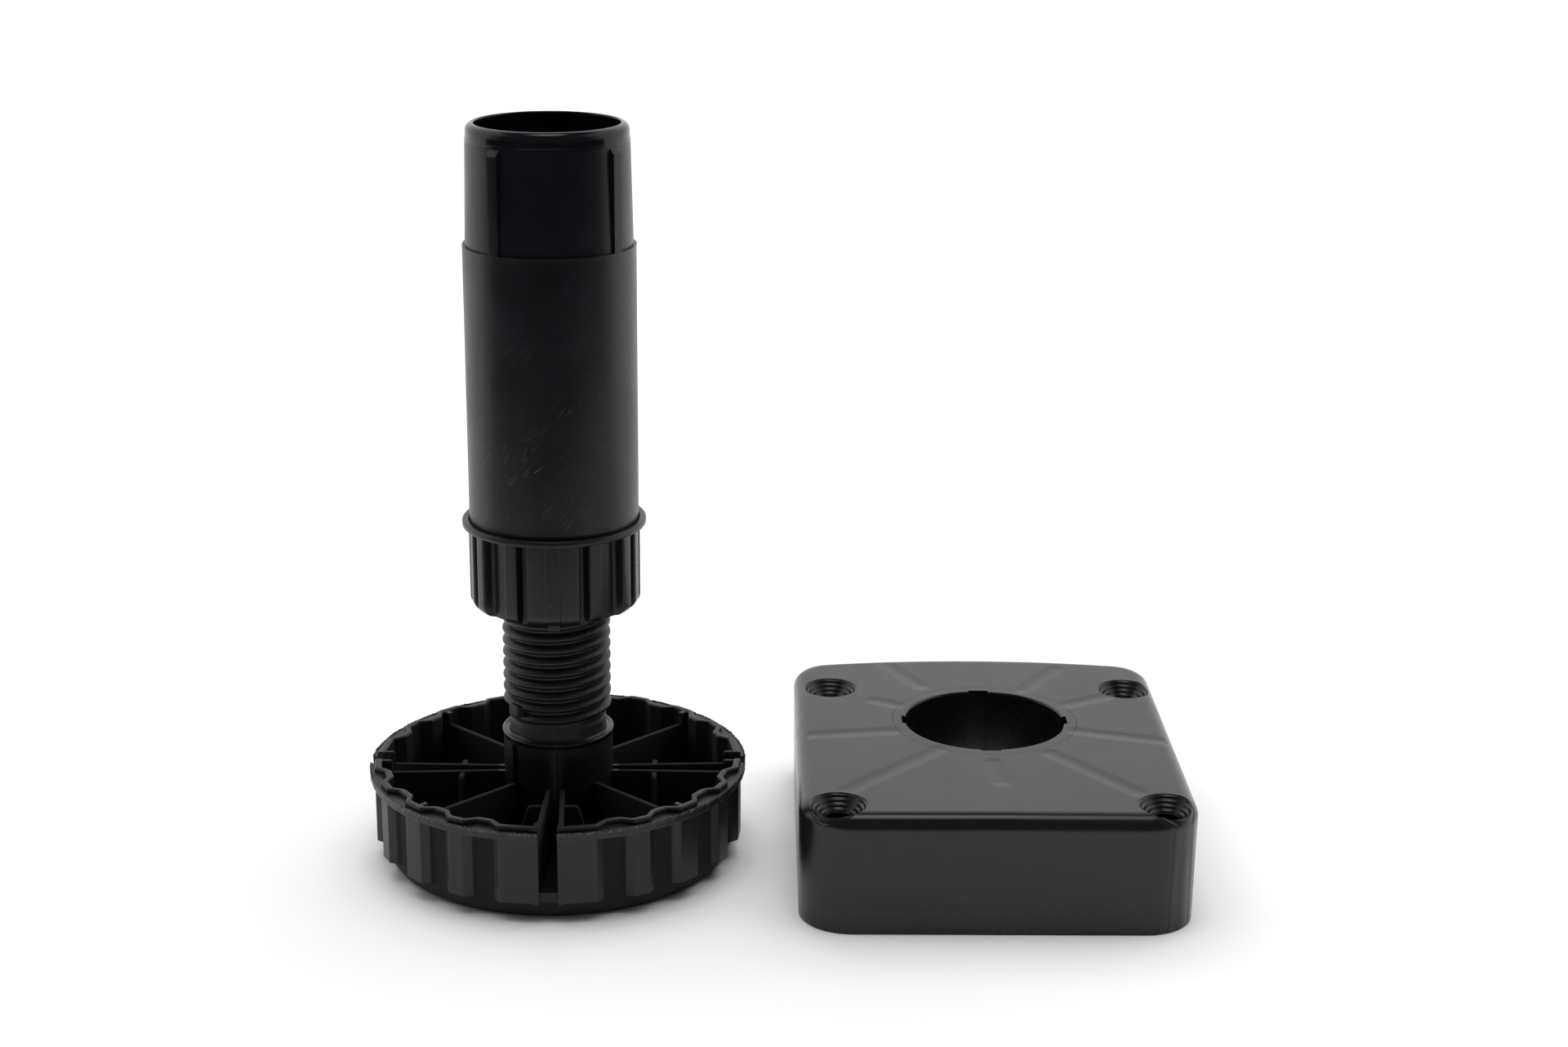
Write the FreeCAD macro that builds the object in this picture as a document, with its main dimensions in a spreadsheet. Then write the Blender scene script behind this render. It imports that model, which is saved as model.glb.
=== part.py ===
import FreeCAD, Part
import Sketcher
import math
import os

os.makedirs("parts", exist_ok=True)
V = FreeCAD.Vector
doc = FreeCAD.newDocument("CabinetLeg")

# ---------------------------------------------------------------- dimensions
# lengths in millimetres, angles in degrees, heights above the floor
VALUES = [
    ("tube_od", 34.0), ("tube_bore", 30.8), ("tube_bottom", 71.65), ("tube_top", 128.0),
    ("total_height", 151.7), ("skirt_bottom", 108.0), ("skirt_bore", 26.8),
    ("spigot_base_dia", 32.94), ("spigot_tip_dia", 31.96), ("spigot_bore", 28.4),
    ("parting_height", 148.7), ("spigot_rib_width", 2.6), ("spigot_rib_top", 148.0),
    ("nut_bottom", 54.0), ("flange_bottom", 71.07), ("flange_top", 72.4), ("cup_floor", 71.6),
    ("flange_dia", 36.94), ("cup_dia", 34.6), ("nut_dia", 34.0), ("groove_dia", 29.4),
    ("nut_bore", 22.6), ("neck_dia", 30.64), ("neck_top", 84.0), ("nut_foot_radius", 2.2),
    ("strip_dia", 34.36),
    ("base_dia", 66.8), ("dish_dia", 71.8), ("floor_height", 4.0), ("dish_top", 6.5),
    ("wall_bottom", 4.3), ("wall_top", 20.5), ("wall_crest_dia", 75.6), ("wall_valley_dia", 72.0),
    ("wall_thickness", 1.5), ("band_dia", 77.4), ("band_bottom", 17.9), ("band_top", 19.6),
    ("slot_width", 4.4), ("rib_top", 17.8), ("rib_thickness", 1.0), ("gusset_radius", 19.8),
    ("hub_dia", 22.4), ("lip_dia", 22.8), ("lip_top", 27.25), ("screw_neck_dia", 19.7),
    ("thread_dia", 22.0), ("thread_pitch", 2.5), ("thread_start", 31.67), ("thread_turn", -140.0), ("thread_turns", 27.0),
    ("spindle_start", 29.0), ("spindle_top", 102.0), ("core_dia", 13.0), ("core_floor", 3.0),
    ("plate_height", 24.85), ("plate_left", 39.7), ("plate_right", 38.75), ("plate_front", 51.67),
    ("plate_side_back", 36.0), ("plate_mid_back", 38.7), ("corner_front", 10.4), ("corner_back", 8.5),
    ("plate_edge", 3.2), ("plate_wall", 2.2), ("plate_skin", 2.6),
    ("socket_dia", 33.2), ("sleeve_dia", 38.8), ("notch_width", 4.2), ("notch_dia", 34.8),
    ("hole_dia", 5.5), ("sink_dia", 11.3), ("boss_dia", 9.4), ("hole_pitch", 64.0),
    ("hole_offset", 13.2), ("plate_rib", 1.6),
]
sheet = doc.addObject("Spreadsheet::Sheet", "Params")
num = {}
for row, (name, value) in enumerate(VALUES, 1):
    sheet.set("A%d" % row, name)
    sheet.set("B%d" % row, str(value))
    sheet.setAlias("B%d" % row, name)
    num[name] = value
doc.recompute()


class Q:
    """a number together with the spreadsheet expression it comes from"""
    def __init__(self, val, ex=None):
        self.val = float(val)
        self.ex = ex if ex is not None else repr(float(val))

    @staticmethod
    def of(x):
        return x if isinstance(x, Q) else Q(x)

    def _op(self, other, sym, val):
        return Q(val, "(%s %s %s)" % (self.ex, sym, Q.of(other).ex))

    def __add__(self, o):
        return self._op(o, "+", self.val + Q.of(o).val)

    def __sub__(self, o):
        return self._op(o, "-", self.val - Q.of(o).val)

    def __mul__(self, o):
        return self._op(o, "*", self.val * Q.of(o).val)

    def __truediv__(self, o):
        return self._op(o, "/", self.val / Q.of(o).val)

    def __neg__(self):
        return Q(-self.val, "(0 - %s)" % self.ex)

    def __rsub__(self, o):
        return Q.of(o) - self

    def __radd__(self, o):
        return Q.of(o) + self


def q(name):
    return Q(num[name], "Params." + name)


# ------------------------------------------------------------------- helpers
def plane(body, role):
    return [o for o in body.Origin.OriginFeatures if o.Role == role][0]


def new_body(label, x=0.0, y=0.0, z=None, turn=0.0):
    body = doc.addObject("PartDesign::Body", label)
    body.Label = label
    body.Placement = FreeCAD.Placement(V(x, y, Q.of(z or 0.0).val),
                                       FreeCAD.Rotation(V(0, 0, 1), turn))
    if isinstance(z, Q):
        body.setExpression("Placement.Base.z", z.ex)
    return body


def new_sketch(body, name, role="XY_Plane", level=0.0):
    sk = body.newObject("Sketcher::SketchObject", name)
    sk.AttachmentSupport = [(plane(body, role), "")]
    sk.MapMode = "FlatFace"
    level = Q.of(level)
    sk.AttachmentOffset = FreeCAD.Placement(V(0, 0, level.val), FreeCAD.Rotation())
    if level.ex.find("Params") >= 0:
        sk.setExpression("AttachmentOffset.Base.z", level.ex)
    return sk


def pin(sk, kind, geo, pos, value):
    value = Q.of(value)
    k = sk.addConstraint(Sketcher.Constraint(kind, -1, 1, geo, pos, value.val))
    if value.ex.find("Params") >= 0:
        sk.setExpression("Constraints[%d]" % k, value.ex)


def outline(sk, pts):
    """closed outline; a point is (x, y) or ((x, y), through) where an arc leaves it"""
    ends, mids = [], []
    for p in pts:
        if isinstance(p[0], tuple):
            ends.append(p[0])
            mids.append(p[1])
        else:
            ends.append(p)
            mids.append(None)
    xy = [V(Q.of(a).val, Q.of(b).val, 0) for a, b in ends]
    n = len(xy)
    first = sk.GeometryCount
    geo = []
    for i in range(n):
        a, b = xy[i], xy[(i + 1) % n]
        if mids[i] is None:
            geo.append(Part.LineSegment(a, b))
        else:
            m = V(mids[i][0], mids[i][1], 0)
            if (m - a).cross(b - m).z > 0:
                geo.append(Part.Arc(a, m, b))
            else:
                geo.append(Part.Arc(b, m, a))
    for g in geo:
        sk.addGeometry(g, False)
    start = []
    for i in range(n):
        g = sk.Geometry[first + i]
        d = (g.StartPoint - xy[i]).Length
        start.append(1 if d < 1e-6 else 2)
    for i in range(n):
        j = (i + 1) % n
        sk.addConstraint(Sketcher.Constraint("Coincident", first + i, 3 - start[i], first + j, start[j]))
    for i in range(n):
        pin(sk, "DistanceX", first + i, start[i], ends[i][0])
        pin(sk, "DistanceY", first + i, start[i], ends[i][1])


def freehand(sk, xy):
    """closed outline of many short sides, held by Block constraints"""
    first = sk.GeometryCount
    n = len(xy)
    for i in range(n):
        a, b = xy[i], xy[(i + 1) % n]
        sk.addGeometry(Part.LineSegment(V(a[0], a[1], 0), V(b[0], b[1], 0)), False)
    for i in range(n):
        sk.addConstraint(Sketcher.Constraint("Coincident", first + i, 2, first + (i + 1) % n, 1))


def circle(sk, radius, x=0.0, y=0.0):
    x, y, radius = Q.of(x), Q.of(y), Q.of(radius)
    g = sk.addGeometry(Part.Circle(V(x.val, y.val, 0), V(0, 0, 1), radius.val), False)
    if abs(x.val) < 1e-9 and abs(y.val) < 1e-9:
        sk.addConstraint(Sketcher.Constraint("Coincident", g, 3, -1, 1))
    else:
        pin(sk, "DistanceX", g, 3, x)
        pin(sk, "DistanceY", g, 3, y)
    k = sk.addConstraint(Sketcher.Constraint("Radius", g, radius.val))
    if radius.ex.find("Params") >= 0:
        sk.setExpression("Constraints[%d]" % k, radius.ex)


def extrude(body, kind, name, sk, length, back=False, mid=False):
    f = body.newObject("PartDesign::" + kind, name)
    f.Profile = sk
    length = Q.of(length)
    f.Length = length.val
    if length.ex.find("Params") >= 0:
        f.setExpression("Length", length.ex)
    f.Reversed = back
    if mid:
        f.Midplane = True
    sk.Visibility = False
    doc.recompute()
    return f


def spin(body, kind, name, sk):
    f = body.newObject("PartDesign::" + kind, name)
    f.Profile = sk
    f.ReferenceAxis = (sk, ["V_Axis"])
    f.Angle = 360.0
    sk.Visibility = False
    doc.recompute()
    return f


def around(body, name, features, count=4):
    f = body.newObject("PartDesign::PolarPattern", name)
    f.Originals = features
    f.Axis = ([o for o in body.Origin.OriginFeatures if o.Role == "Z_Axis"][0], [""])
    f.Angle = 360.0
    f.Occurrences = count
    body.Tip = f
    doc.recompute()
    return f


def sector(r0, r1, a0, a1):
    """ring sector, angles measured from -Y towards +X"""
    def at(r, a):
        return (r * math.sin(math.radians(a)), -r * math.cos(math.radians(a)))
    am = 0.5 * (a0 + a1)
    return [(at(r0, a0), at(r0, am)), at(r0, a1), (at(r1, a1), at(r1, am)), at(r1, a0)]


def bar_y(r0, r1, half):
    """rectangle reaching from r0 to r1 towards -Y"""
    return [(-half, -r0), (half, -r0), (half, -r1), (-half, -r1)]


# ---------------------------------------------------------------- outer tube
tube = new_body("outer_tube", z=q("tube_bottom"))
sk = new_sketch(tube, "TubeRing")
circle(sk, q("tube_od") / 2)
circle(sk, q("tube_bore") / 2)
extrude(tube, "Pad", "TubeWall", sk, q("tube_top") - q("tube_bottom"))

# ------------------------------------------------------------------ top plug
plug = new_body("top_plug", z=q("skirt_bottom"), turn=-34.4)
h = q("skirt_bottom")
sk = new_sketch(plug, "PlugProfile", "XZ_Plane")
top = q("total_height") - h
outline(sk, [
    (q("skirt_bore") / 2, 0.4), (q("skirt_bore") / 2 + 0.4, 0.0),
    (q("tube_bore") / 2 - 0.6, 0.0), (q("tube_bore") / 2, 1.0),
    (q("tube_bore") / 2, q("tube_top") - h),
    (q("spigot_base_dia") / 2, q("tube_top") - h),
    (q("spigot_tip_dia") / 2 + 0.02, q("parting_height") - h),
    (q("spigot_tip_dia") / 2 - 0.06, q("parting_height") - h),
    ((q("spigot_tip_dia") / 2 - 0.10, top - 2.2), (15.28, 43.05)),
    (q("spigot_bore") / 2 + 0.45, top),
    (q("spigot_bore") / 2, top - 0.4),
    (q("spigot_bore") / 2, q("tube_top") - h - 0.2),
    (q("skirt_bore") / 2, q("tube_top") - h - 1.4),
])
spin(plug, "Revolution", "PlugShell", sk)
sk = new_sketch(plug, "PlugRibSide", "XZ_Plane")
outline(sk, [
    (15.4, q("tube_top") - h), (q("tube_od") / 2, q("tube_top") - h),
    (q("tube_od") / 2, q("spigot_rib_top") - h - 1.1),
    (q("spigot_tip_dia") / 2 + 0.15, q("spigot_rib_top") - h),
    (15.4, q("spigot_rib_top") - h),
])
rib = extrude(plug, "Pad", "PlugRib", sk, q("spigot_rib_width"), mid=True)
around(plug, "PlugRibs", [rib])

# ------------------------------------------------------------- adjusting nut
nut = new_body("adjusting_nut", z=q("nut_bottom"), turn=2.8)
h = q("nut_bottom")
sk = new_sketch(nut, "NutProfile", "XZ_Plane")
fb, ft, cf = q("flange_bottom") - h, q("flange_top") - h, q("cup_floor") - h
nr, fr, cr, kr = q("nut_dia") / 2, q("flange_dia") / 2, q("cup_dia") / 2, q("neck_dia") / 2
br = q("nut_bore") / 2
foot_r = num["nut_foot_radius"]
outline(sk, [
    (br, 0.5), (br + 0.5, 0.0),
    ((nr - q("nut_foot_radius"), 0.0),
     (17.0 - foot_r * (1 - math.sin(math.radians(45))), foot_r * (1 - math.cos(math.radians(45))))),
    (nr, q("nut_foot_radius")),
    (nr, fb), (fr - 0.3, fb), (fr, fb + 0.3), (fr, ft - 0.45), (fr - 0.4, ft),
    (cr + 0.3, ft), (cr, ft - 0.3), (cr, cf), (kr, cf),
    (kr, q("neck_top") - h - 0.7), (kr - 0.5, q("neck_top") - h),
    (br + 0.4, q("neck_top") - h), (br, q("neck_top") - h - 0.5),
])
spin(nut, "Revolution", "NutShell", sk)
sk = new_sketch(nut, "NutGrooves")
for a0, a1 in ((18.4, 25.2), (35.0, 55.0), (64.8, 71.6)):
    outline(sk, sector(num["groove_dia"] / 2, 20.0, a0, a1))
cut = extrude(nut, "Pocket", "NutGroove", sk, fb, back=True)
around(nut, "NutRibs", [cut])
sk = new_sketch(nut, "NutStripPlan", level=1.0)
outline(sk, sector(16.6, num["strip_dia"] / 2, -4.9, 4.9))
strip = extrude(nut, "Pad", "NutStrip", sk, fb - 1.0)
around(nut, "NutStrips", [strip])
sk = new_sketch(nut, "NutLugPlan", level=-0.8)
outline(sk, bar_y(14.3, 15.9, 1.2))
extrude(nut, "Pad", "NutLug", sk, 2.1)

# ---------------------------------------------------------------------- foot
foot = new_body("foot_moulding")
sk = new_sketch(foot, "FootProfile", "XZ_Plane")
core, hub, lip, neck = q("core_dia") / 2, q("hub_dia") / 2, q("lip_dia") / 2, q("screw_neck_dia") / 2
outline(sk, [
    (0.0, 0.0), (0.0, q("core_floor")), (core, q("core_floor")), (core, q("spindle_start")),
    (neck, q("spindle_start")), (neck, q("lip_top") + 0.9),
    (neck + 0.35, q("lip_top") + 0.2), (neck + 0.9, q("lip_top")),
    (lip - 0.25, q("lip_top")), (lip, q("lip_top") - 0.25), (lip, q("lip_top") - 0.7),
    (hub, q("lip_top") - 1.0), (hub, q("floor_height")),
    (q("dish_dia") / 2 - 1.3, q("floor_height")), (q("dish_dia") / 2 - 1.3, q("dish_top")),
    (q("dish_dia") / 2, q("dish_top")),
    ((q("dish_dia") / 2, q("wall_bottom")), (35.15, 1.75)),
    (q("base_dia") / 2, 0.0),
])
spin(foot, "Revolution", "FootDish", sk)

crest, valley = num["wall_crest_dia"] / 2, num["wall_valley_dia"] / 2
quarter = [(0.0, 1), (7.5, 1), (14.6, 1), (18.2, 0), (23.0, 0), (26.4, 1), (31.6, 1), (35.0, 0),
           (39.6, 0), (43.0, 1), (50.0, 1), (53.4, 0), (58.6, 0), (62.0, 1), (68.0, 1),
           (71.4, 0), (76.6, 0), (80.0, 1), (85.0, 1), (90.0, 1)]
half = quarter[:-1] + [(90.0 + a, k) for a, k in quarter]
wave = half + [(360.0 - a, k) for a, k in reversed(half[1:-1])]


def wave_points(inset):
    out = []
    for a, k in wave:
        r = (crest if k else valley) - inset
        out.append((r * math.sin(math.radians(a)), -r * math.cos(math.radians(a))))
    return out


sk = new_sketch(foot, "WallPlan", level=q("wall_bottom"))
freehand(sk, wave_points(0.0))
freehand(sk, wave_points(num["wall_thickness"]))
extrude(foot, "Pad", "WavyWall", sk, q("wall_top") - q("wall_bottom"))
sk = new_sketch(foot, "BandPlan", level=q("band_bottom"))
circle(sk, q("band_dia") / 2)
freehand(sk, wave_points(num["wall_thickness"] * 0.5))
extrude(foot, "Pad", "RimBand", sk, q("band_top") - q("band_bottom"))

low = q("floor_height") - 0.5
t = num["rib_thickness"]
w = num["slot_width"] / 2
sk = new_sketch(foot, "PairPlan", level=low)
for s in (1, -1):
    outline(sk, [(s * 1.15, -10.6), (s * (1.15 + t), -10.6), (s * (w + t), -36.4), (s * w, -36.4)])
pair = extrude(foot, "Pad", "RibPair", sk, q("rib_top") - low)
around(foot, "RibPairs", [pair])
sk = new_sketch(foot, "PostPlan", level=low)
for s in (1, -1):
    outline(sk, [(s * (w - 0.02), -33.6), (s * (w + 1.15), -33.6), (s * (w + 1.15), -36.8), (s * (w - 0.02), -36.8)])
post = extrude(foot, "Pad", "SlotPost", sk, q("wall_top") - low)
around(foot, "SlotPosts", [post])
sk = new_sketch(foot, "DiagonalPlan", level=low)
c, s = math.cos(math.radians(45)), math.sin(math.radians(45))


def diagonal(r0, r1, half):
    return [(r * s - o * c, -r * c - o * s) for r, o in ((r0, half), (r1, half), (r1, -half), (r0, -half))]


outline(sk, diagonal(10.4, 36.6, t / 2))
diag = extrude(foot, "Pad", "DiagonalRib", sk, q("rib_top") - low)
around(foot, "DiagonalRibs", [diag])
sk = new_sketch(foot, "RidgePlan", level=low)
outline(sk, diagonal(35.3, 36.7, 0.6))
ridge = extrude(foot, "Pad", "WallRidge", sk, q("wall_top") - 0.15 - low)
around(foot, "WallRidges", [ridge])
sk = new_sketch(foot, "GussetShape", "XZ_Plane", level=q("gusset_radius") - 0.5)
zt = num["rib_top"] - 0.2
outline(sk, [(-9.3, low), (-5.6, zt - 1.3), (-5.25, zt - 0.35), (-4.7, zt),
             (4.7, zt), (5.25, zt - 0.35), (5.6, zt - 1.3), (9.3, low)])
gus = extrude(foot, "Pad", "Gusset", sk, 1.0)
around(foot, "Gussets", [gus])
sk = new_sketch(foot, "ChannelPlan", level=q("dish_top"))
outline(sk, [(-1.15, -11.6), (1.15, -11.6), (w, -34.6), (w, -41.0), (-w, -41.0), (-w, -34.6)])
slot = extrude(foot, "Pocket", "Channel", sk, 30.0, back=True)
around(foot, "Channels", [slot])

# key rib on the hub and the stop lug at the low end of the thread
sk = new_sketch(foot, "KeyPlan", level=low)
a = math.radians(-52.8)


def radial(r0, r1, half, ang):
    return [(r * math.sin(ang) + o * math.cos(ang), -r * math.cos(ang) + o * math.sin(ang))
            for r, o in ((r0, -half), (r1, -half), (r1, half), (r0, half))]


outline(sk, radial(10.2, 12.0, 1.2, a))
extrude(foot, "Pad", "HubKey", sk, 26.0 - low)
doc.recompute()

# screw thread: a rounded tooth swept along a helix
z0, pitch, turns = num["thread_start"], num["thread_pitch"], num["thread_turns"]
rc, rr = num["thread_dia"] / 2, num["screw_neck_dia"] / 2 - 0.25
p1, p2, p3 = V(rr, 0, z0 - 1.16), V(rc - 0.45, 0, z0 - 0.74), V(rc, 0, z0)
p4, p5 = V(rc - 0.45, 0, z0 + 0.74), V(rr, 0, z0 + 1.16)
tooth = Part.Wire([Part.LineSegment(p1, p2).toShape(), Part.Arc(p2, p3, p4).toShape(),
                   Part.LineSegment(p4, p5).toShape(), Part.LineSegment(p5, p1).toShape()])
helix = Part.Wire(Part.makeHelix(pitch, pitch * turns, 10.0).Edges)
helix.translate(V(0, 0, z0))
thread = doc.addObject("Part::Feature", "screw_thread")
thread.Shape = helix.makePipeShell([tooth], True, True)
thread.Placement = FreeCAD.Placement(V(0, 0, 0), FreeCAD.Rotation(V(0, 0, 1), num["thread_turn"]))

# spindle: hollow core, thread and the stop lug at the thread's low end
stem = doc.addObject("Part::Cylinder", "spindle_core")
stem.setExpression("Radius", "Params.screw_neck_dia / 2")
stem.setExpression("Height", "Params.spindle_top - Params.spindle_start")
stem.setExpression("Placement.Base.z", "Params.spindle_start")
bore = doc.addObject("Part::Cylinder", "spindle_bore")
bore.setExpression("Radius", "Params.core_dia / 2")
bore.setExpression("Height", "Params.spindle_top - Params.spindle_start + 2")
bore.setExpression("Placement.Base.z", "Params.spindle_start - 1")
hollow = doc.addObject("Part::Cut", "spindle_hollow")
hollow.Base = stem
hollow.Tool = bore
doc.recompute()
la = -45.8 - 90.0
lug = doc.addObject("Part::Box", "stop_lug")
lug.Length, lug.Width, lug.Height = 3.4, 3.8, 3.4
ca, sa = math.cos(math.radians(la)), math.sin(math.radians(la))
lug.Placement = FreeCAD.Placement(V(8.6 * ca + 1.9 * sa, 8.6 * sa - 1.9 * ca, 31.8),
                                  FreeCAD.Rotation(V(0, 0, 1), la))
screw = doc.addObject("Part::Fuse", "threaded_core")
screw.Base = hollow
screw.Tool = thread
doc.recompute()
spindle = doc.addObject("Part::Fuse", "threaded_spindle")
spindle.Base = screw
spindle.Tool = lug
doc.recompute()
joined = doc.addObject("Part::Fuse", "foot")
joined.Base = foot
joined.Tool = spindle
joined.Label = "foot"
doc.recompute()

# ------------------------------------------------------------ mounting plate
plate = new_body("mounting_plate", x=89.0, y=10.1)
xl, xr, yf = num["plate_left"], num["plate_right"], num["plate_front"]
ys, ym, cf_, cb = num["plate_side_back"], num["plate_mid_back"], num["corner_front"], num["corner_back"]


def plate_outline(d):
    """outer outline of the plate moved inwards by d"""
    k = math.sqrt(0.5)
    rf, rb = cf_ - d, cb - d
    l, r, f, b, m = -xl + d, xr - d, -yf + d, ys - d, ym - d
    tilt = 0.16
    mid = 0.5 * (l + r)
    return [
        (l + rf, f), ((r - rf, f), (r - rf + rf * k, f + rf - rf * k)), (r, f + rf),
        ((r, b - rb), (r - rb + rb * math.cos(0.62), b - rb + rb * math.sin(0.62))),
        ((r - rb + rb * tilt, b - rb + rb * math.sqrt(1 - tilt * tilt)), (mid, m)),
        ((l + rb - rb * tilt, b - rb + rb * math.sqrt(1 - tilt * tilt)),
         (l + rb - rb * math.cos(0.62), b - rb + rb * math.sin(0.62))),
        (l, b - rb), ((l, f + rf), (l + rf - rf * k, f + rf - rf * k)),
    ]


sk = new_sketch(plate, "PlatePlan")
outline(sk, plate_outline(0.0))
block = extrude(plate, "Pad", "PlateBlock", sk, q("plate_height"))
topz = num["plate_height"]
edges = []
for i, e in enumerate(block.Shape.Edges, 1):
    if abs(e.BoundBox.ZMin - topz) < 1e-4 and abs(e.BoundBox.ZMax - topz) < 1e-4:
        edges.append("Edge%d" % i)
fil = plate.newObject("PartDesign::Fillet", "PlateRoundEdge")
fil.Base = (block, edges)
fil.Radius = num["plate_edge"]
fil.setExpression("Radius", "Params.plate_edge")
doc.recompute()
sk = new_sketch(plate, "PlateHollow")
outline(sk, plate_outline(num["plate_wall"]))
extrude(plate, "Pocket", "PlateCavity", sk, q("plate_height") - q("plate_skin"), back=True)
deep = q("plate_height") - 1.2
sk = new_sketch(plate, "SleevePlan")
circle(sk, q("sleeve_dia") / 2)
extrude(plate, "Pad", "Sleeve", sk, deep)
sk = new_sketch(plate, "BossPlan")
hp, ho = q("hole_pitch") / 2, q("hole_offset")
centres = [(hp, hp - ho), (-hp, hp - ho), (hp, -hp - ho), (-hp, -hp - ho)]
for cx, cy in centres:
    circle(sk, q("boss_dia") / 2, cx, cy)
extrude(plate, "Pad", "Bosses", sk, q("plate_height") - 1.9)


def bar(x0, y0, x1, y1, half):
    n = math.hypot(x1 - x0, y1 - y0)
    ux, uy = -(y1 - y0) / n * half, (x1 - x0) / n * half
    return [(x0 + ux, y0 + uy), (x1 + ux, y1 + uy), (x1 - ux, y1 - uy), (x0 - ux, y0 - uy)]


hr = num["plate_rib"] / 2
spokes = [(30.0, 40.4), (-30.0, 40.4),
          (60.0, 34.0), (-60.0, 34.0), (107.0, 38.9), (-107.0, 40.0), (180.0, 50.4)]
for i, (ang, reach) in enumerate(spokes):
    ca, sa = math.sin(math.radians(ang)), math.cos(math.radians(ang))
    sk = new_sketch(plate, "SpokePlan%d" % i, level=1.0)
    outline(sk, bar(17.5 * ca, 17.5 * sa, reach * ca, reach * sa, hr))
    extrude(plate, "Pad", "Spoke%d" % i, sk, q("plate_height") - 2.2)
for i, (cx, cy) in enumerate(centres[2:]):
    n = math.hypot(cx.val, cy.val)
    sk = new_sketch(plate, "LongSpokePlan%d" % i, level=1.0)
    outline(sk, bar(17.5 * cx.val / n, 17.5 * cy.val / n, cx.val * (n - 4.0) / n, cy.val * (n - 4.0) / n, hr))
    extrude(plate, "Pad", "LongSpoke%d" % i, sk, q("plate_height") - 2.2)

sk = new_sketch(plate, "SocketPlan", level=-1.0)
circle(sk, q("socket_dia") / 2)
extrude(plate, "Pocket", "Socket", sk, q("plate_height") + 2.0, back=True)
sk = new_sketch(plate, "NotchPlan", level=-1.0)
nw, nd = q("notch_width") / 2, q("notch_dia") / 2
outline(sk, [(-nw, 14.0), (nw, 14.0), (nw, nd), (-nw, nd)])
notch = extrude(plate, "Pocket", "Notch", sk, q("plate_height") + 2.0, back=True)
around(plate, "Notches", [notch])
sk = new_sketch(plate, "MouthProfile", "XZ_Plane")
sr = q("socket_dia") / 2
outline(sk, [(sr - 0.5, q("plate_height") + 0.4), (sr + 0.8, q("plate_height") + 0.4), (sr - 0.5, q("plate_height") - 0.9)])
spin(plate, "Groove", "Mouth", sk)
sk = new_sketch(plate, "WitnessProfile", "XZ_Plane")
wr = q("sleeve_dia") / 2
outline(sk, [(wr - 0.14, q("plate_height") + 0.3), (wr + 0.14, q("plate_height") + 0.3),
             (wr + 0.14, q("plate_height") - 0.1), (wr - 0.14, q("plate_height") - 0.1)])
spin(plate, "Groove", "WitnessRing", sk)
sk = new_sketch(plate, "HolePlan", level=q("plate_height"))
for cx, cy in centres:
    circle(sk, q("hole_dia") / 2, cx, cy)
doc.recompute()
hole = plate.newObject("PartDesign::Hole", "ScrewHoles")
hole.Profile = sk
hole.Threaded = False
hole.ThreadType = "None"
hole.Diameter = num["hole_dia"]
hole.HoleCutType = "Countersink"
hole.HoleCutCustomValues = True
hole.HoleCutDiameter = num["sink_dia"]
hole.HoleCutCountersinkAngle = 90.0
hole.DepthType = "ThroughAll"
doc.recompute()

# -------------------------------------------------------------------- export
nodes = [("foot", joined), ("adjusting_nut", nut), ("outer_tube", tube), ("top_plug", plug),
         ("mounting_plate", plate)]
for obj in doc.Objects:
    if "Invalid" in obj.State or "Error" in obj.State:
        raise RuntimeError("feature failed: " + obj.Name + " " + str(obj.State))
for name, obj in nodes:
    shape = obj.Shape
    if shape.isNull() or not shape.isValid() or len(shape.Solids) != 1:
        raise RuntimeError("bad shape: " + name + " solids %d" % len(shape.Solids))
    shape.exportStep("parts/" + name + ".step")
    bb = shape.BoundBox
    print(name, "volume %.1f" % shape.Volume, "x %.2f %.2f y %.2f %.2f z %.2f %.2f" % (
        bb.XMin, bb.XMax, bb.YMin, bb.YMax, bb.ZMin, bb.ZMax))
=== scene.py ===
import bpy
import bmesh
import math
import numpy as np
from mathutils import Matrix, Vector


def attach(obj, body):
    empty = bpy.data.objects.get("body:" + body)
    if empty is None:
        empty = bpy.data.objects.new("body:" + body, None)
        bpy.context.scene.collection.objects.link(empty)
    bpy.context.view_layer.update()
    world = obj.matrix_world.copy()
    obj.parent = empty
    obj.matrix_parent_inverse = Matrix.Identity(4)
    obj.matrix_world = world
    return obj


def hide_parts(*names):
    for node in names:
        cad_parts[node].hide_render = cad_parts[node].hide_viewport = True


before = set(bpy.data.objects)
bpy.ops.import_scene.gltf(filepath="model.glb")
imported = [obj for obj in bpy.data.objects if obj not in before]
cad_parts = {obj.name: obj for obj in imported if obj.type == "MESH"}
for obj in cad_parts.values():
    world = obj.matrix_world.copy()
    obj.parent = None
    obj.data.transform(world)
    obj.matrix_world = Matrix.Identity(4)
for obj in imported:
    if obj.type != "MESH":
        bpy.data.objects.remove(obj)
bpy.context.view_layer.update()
COL = bpy.context.scene.collection


# ------------------------------------------------------------------ helpers
# lengths here are millimetres; az is an angle from -Y (front) towards +X
def at(r, az, z=0.0):
    a = math.radians(az)
    return (r * math.sin(a), -r * math.cos(a), z)


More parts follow.
